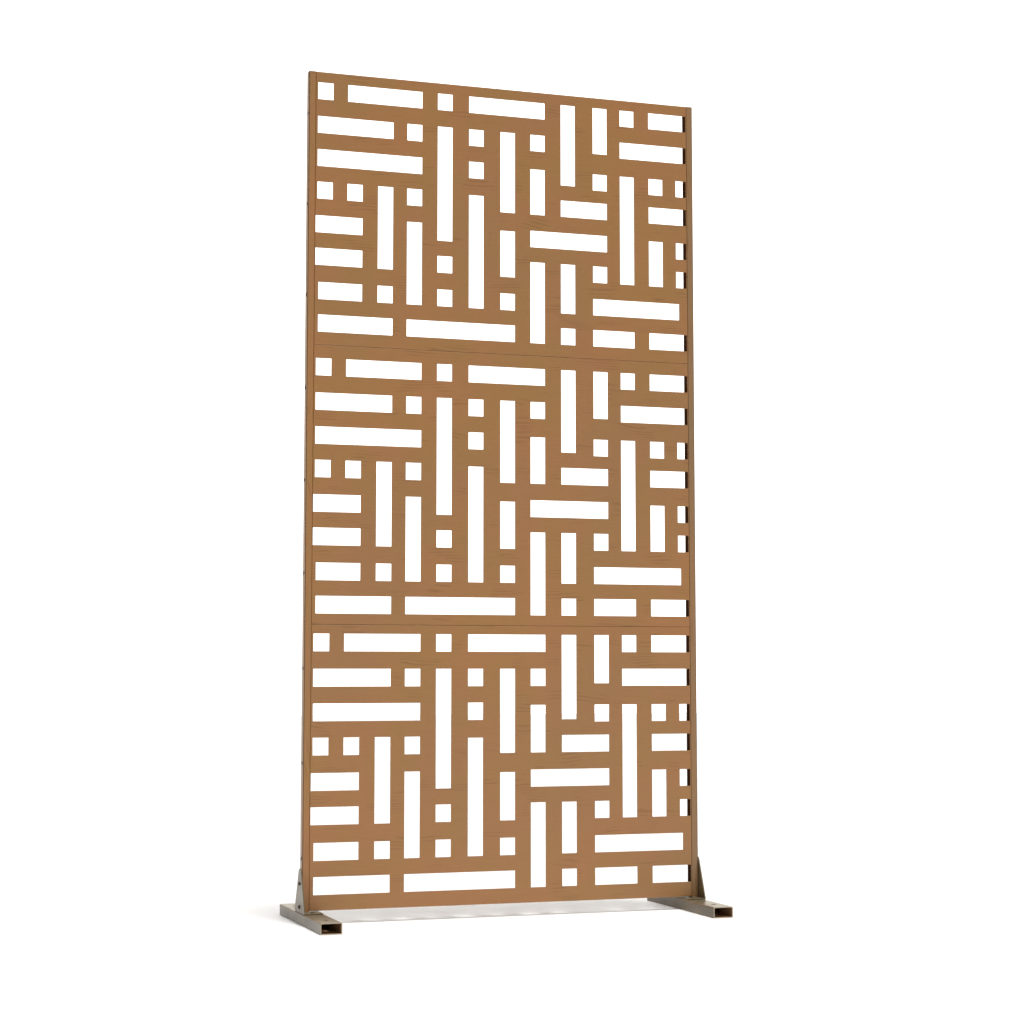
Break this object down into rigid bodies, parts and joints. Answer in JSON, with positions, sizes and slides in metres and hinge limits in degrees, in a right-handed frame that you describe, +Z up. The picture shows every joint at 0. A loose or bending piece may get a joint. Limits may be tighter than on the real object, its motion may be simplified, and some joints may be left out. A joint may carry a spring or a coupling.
{
  "type": "garden privacy screen",
  "caption": "Free-standing privacy screen: three stacked folded panels with a cut rectangle lattice between two tube posts on flat tube feet with anchor holes.",
  "frame": {"origin": "on the ground at the middle of the four anchor holes, which is the bottom centre of the whole box", "axes": "+Z up the screen; the flat faces of the panels look towards -Y; +X to the right of someone who looks at that face"},
  "size_m": [0.9716, 0.39, 1.9356],
  "materials": {
    "woodgrain_coating": "satin wood-grain transfer coating, warm mid brown with fine dark and light streaks",
    "bronze_coating": "semi-gloss dark bronze coating that mirrors a bright surround at a low angle",
    "bronze_fasteners": "semi-gloss dark bronze button-head bolts",
    "zinc_nuts": "bright zinc-plated steel"
  },
  "bodies": {
    "root": {"bottom_panel": "woodgrain_coating", "middle_panel": "woodgrain_coating", "top_panel": "woodgrain_coating", "left_post": "woodgrain_coating", "right_post": "woodgrain_coating", "left_foot": "bronze_coating", "left_gusset": "bronze_coating", "right_foot": "bronze_coating", "right_gusset": "bronze_coating", "left_bottom_panel_bolts": "bronze_fasteners", "left_bottom_panel_nuts": "zinc_nuts", "left_middle_panel_bolts": "bronze_fasteners", "left_middle_panel_nuts": "zinc_nuts", "left_top_panel_bolts": "bronze_fasteners", "left_top_panel_nuts": "zinc_nuts", "left_gusset_bolts": "bronze_fasteners", "left_gusset_nuts": "zinc_nuts", "left_foot_bolts": "bronze_fasteners", "left_foot_nuts": "zinc_nuts", "right_bottom_panel_bolts": "bronze_fasteners", "right_bottom_panel_nuts": "zinc_nuts", "right_middle_panel_bolts": "bronze_fasteners", "right_middle_panel_nuts": "zinc_nuts", "right_top_panel_bolts": "bronze_fasteners", "right_top_panel_nuts": "zinc_nuts", "right_gusset_bolts": "bronze_fasteners", "right_gusset_nuts": "zinc_nuts", "right_foot_bolts": "bronze_fasteners", "right_foot_nuts": "zinc_nuts"}
  },
  "joints": []
}
